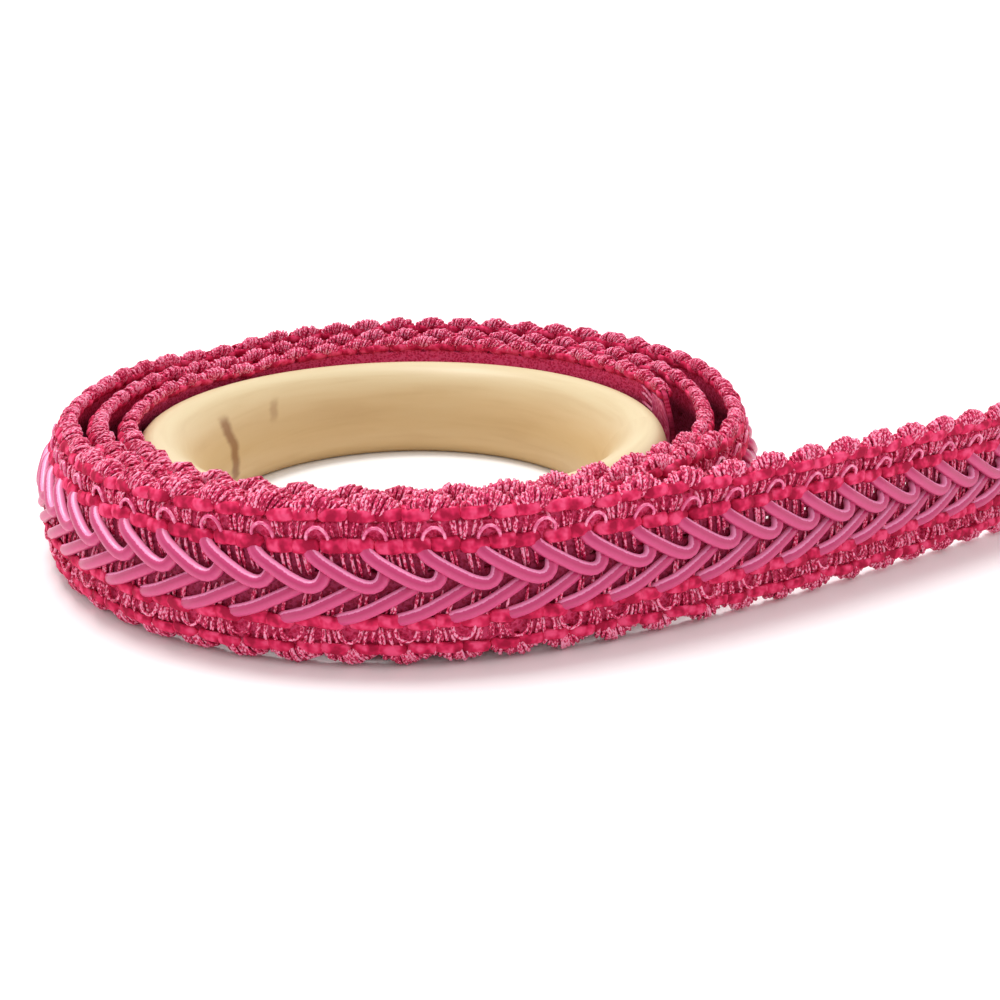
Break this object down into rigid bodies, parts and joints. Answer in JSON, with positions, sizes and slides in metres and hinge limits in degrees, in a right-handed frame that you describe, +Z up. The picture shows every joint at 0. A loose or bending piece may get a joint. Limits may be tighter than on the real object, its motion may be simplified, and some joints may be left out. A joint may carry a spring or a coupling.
{
  "type": "lace ribbon on a wooden ring",
  "caption": "Narrow gimp braid lace ribbon with scalloped edges, standing on edge and wound round a turned wooden ring, with one loose straight end.",
  "frame": {"origin": "bottom centre of the bounding box, on the surface that the part rests on", "axes": "+Z up, across the ribbon's width; +X to the right, the side to which the loose end runs; the ring's axis is parallel to Z"},
  "size_m": [0.0996, 0.0662, 0.0124],
  "materials": {
    "ribbon": "bright raspberry pink warp-knitted braid with glossy satin-wrapped gimp cords",
    "wood": "smooth pale turned wood, lightly sealed, with faint grain and one brown streak"
  },
  "bodies": {
    "root": {"lace_ribbon": "ribbon", "wooden_ring": "wood"}
  },
  "joints": []
}
